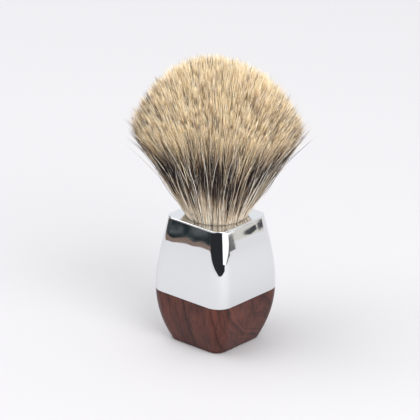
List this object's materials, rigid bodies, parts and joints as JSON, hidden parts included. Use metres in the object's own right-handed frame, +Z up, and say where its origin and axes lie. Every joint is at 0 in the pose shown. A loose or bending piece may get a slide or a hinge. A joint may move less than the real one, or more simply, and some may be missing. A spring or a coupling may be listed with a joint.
{
  "type": "shaving brush",
  "caption": "Wet-shaving brush with a dome-trimmed badger knot in a square barrel handle of chromed metal over polished rosewood",
  "frame": {"origin": "middle of the flat face that the brush stands on", "axes": "+Z up along the handle and the knot; the handle's four flat sides face along X and Y"},
  "size_m": [0.0612, 0.0612, 0.1105],
  "materials": {
    "polished_chrome": "mirror polished",
    "oiled_rosewood": "polished lacquer",
    "black_rubber": "matte",
    "zinc_plated_steel": "zinc plated",
    "spring_steel": "oiled",
    "turned_brass": "turned",
    "red_fibre": "vulcanised fibre, matte",
    "epoxy": "cured, glossy",
    "moulded_plastic": "satin black",
    "cast_resin": "cast, glossy",
    "waxed_thread": "waxed",
    "badger_hair": "fine banded animal hair"
  },
  "bodies": {
    "root": {"chrome_body": "polished_chrome", "rosewood_base": "oiled_rosewood", "rubber_foot": "black_rubber", "joint_screw": "zinc_plated_steel", "plain_washer": "zinc_plated_steel", "lock_washer": "spring_steel", "threaded_insert": "turned_brass", "alignment_pin_left": "zinc_plated_steel", "alignment_pin_right": "zinc_plated_steel", "loft_spacer": "red_fibre", "knot_adhesive": "epoxy", "knot_ferrule": "moulded_plastic", "knot_plug": "cast_resin", "knot_binding": "waxed_thread", "hair_bundle": "badger_hair"}
  },
  "joints": []
}
